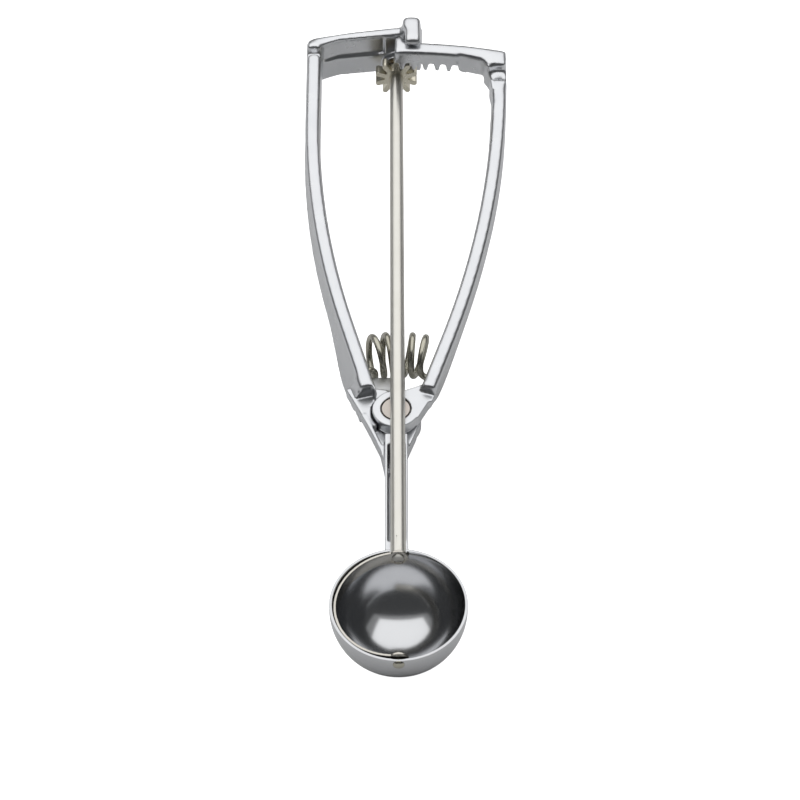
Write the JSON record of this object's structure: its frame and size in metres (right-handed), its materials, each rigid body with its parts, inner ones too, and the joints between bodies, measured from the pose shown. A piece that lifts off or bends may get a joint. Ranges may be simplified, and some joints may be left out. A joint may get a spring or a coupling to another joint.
{
  "type": "lever ice cream scoop",
  "caption": "Squeeze scoop with a hemispherical bowl and two cast handles; closing them drives a rack, a star pinion and a rod that sweeps a thin scraper through the bowl.",
  "frame": {"origin": "middle of the bounding box, at the height of its lowest point", "axes": "+Y along the rod from the bowl to the handle tops, +Z the way the bowl opens, +X towards the moving handle"},
  "size_m": [0.062, 0.2356, 0.0355],
  "materials": {
    "cast_aluminium": "cast and polished",
    "nickel_plate": "drawn and nickel plated",
    "pinion_nickel": "stamped and nickel plated",
    "stainless_steel": "pressed and mirror polished",
    "spring_wire": "drawn spring wire, nickel plated",
    "pin_steel": "turned steel",
    "bush_bronze": "turned bronze"
  },
  "bodies": {
    "root": {"left_handle": "cast_aluminium", "pivot_pin": "pin_steel", "pivot_washer": "pin_steel", "pivot_collar": "pin_steel", "rod_bush": "bush_bronze", "bowl": "stainless_steel", "bowl_rivets": "pin_steel", "tail_rivet": "nickel_plate", "handle_spring": "spring_wire"},
    "right_lever": {"right_handle": "cast_aluminium"},
    "rod_assembly": {"drive_rod": "nickel_plate", "drive_pinion": "pinion_nickel", "pinion_pin": "pin_steel", "scraper_blade": "stainless_steel"}
  },
  "joints": [
    {"name": "squeeze", "type": "hinge", "parent": "root", "child": "right_lever", "pos_m": [-0.0035, -0.0288, 0.01513], "axis": [0, 0, 1], "range_deg": [0, 6.95], "stiffness_Nm_per_rad": 8, "springref_deg": -3.44, "deforming": ["handle_spring"]},
    {"name": "rod_spin", "type": "hinge", "parent": "root", "child": "rod_assembly", "pos_m": [-0.003, -0.0288, 0.01953], "axis": [0, 1, 0], "range_deg": [-162, 2]}
  ],
  "couplings": [
    {"joint": "rod_spin", "follows": "squeeze", "ratio": -23.021}
  ]
}
